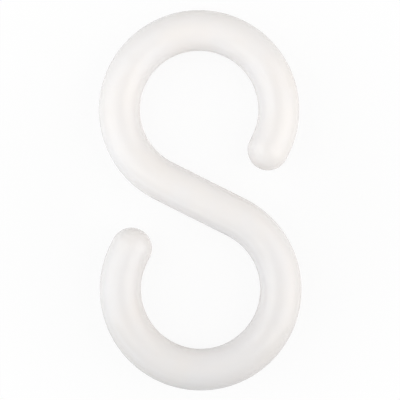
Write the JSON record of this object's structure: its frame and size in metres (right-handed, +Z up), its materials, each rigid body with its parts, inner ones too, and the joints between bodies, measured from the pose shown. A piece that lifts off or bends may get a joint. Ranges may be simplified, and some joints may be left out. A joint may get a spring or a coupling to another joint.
{
  "type": "s hook",
  "caption": "Plastic S hook: a round moulded rod curled into two open eyes that face opposite ways, joined by a slanting straight, with rounded tips.",
  "frame": {"origin": "the hook's centre, halfway between its two eyes, on the surface that it lies on", "axes": "+Y from the lower eye's centre to the upper eye's centre, +X towards the side that the upper eye opens on, +Z up through the thickness of the rod as the hook lies on its side"},
  "size_m": [0.0292, 0.0552, 0.006],
  "materials": {
    "plastic": "moulded, semi-gloss, off-white"
  },
  "bodies": {
    "root": {"s_hook": "plastic"}
  },
  "joints": []
}
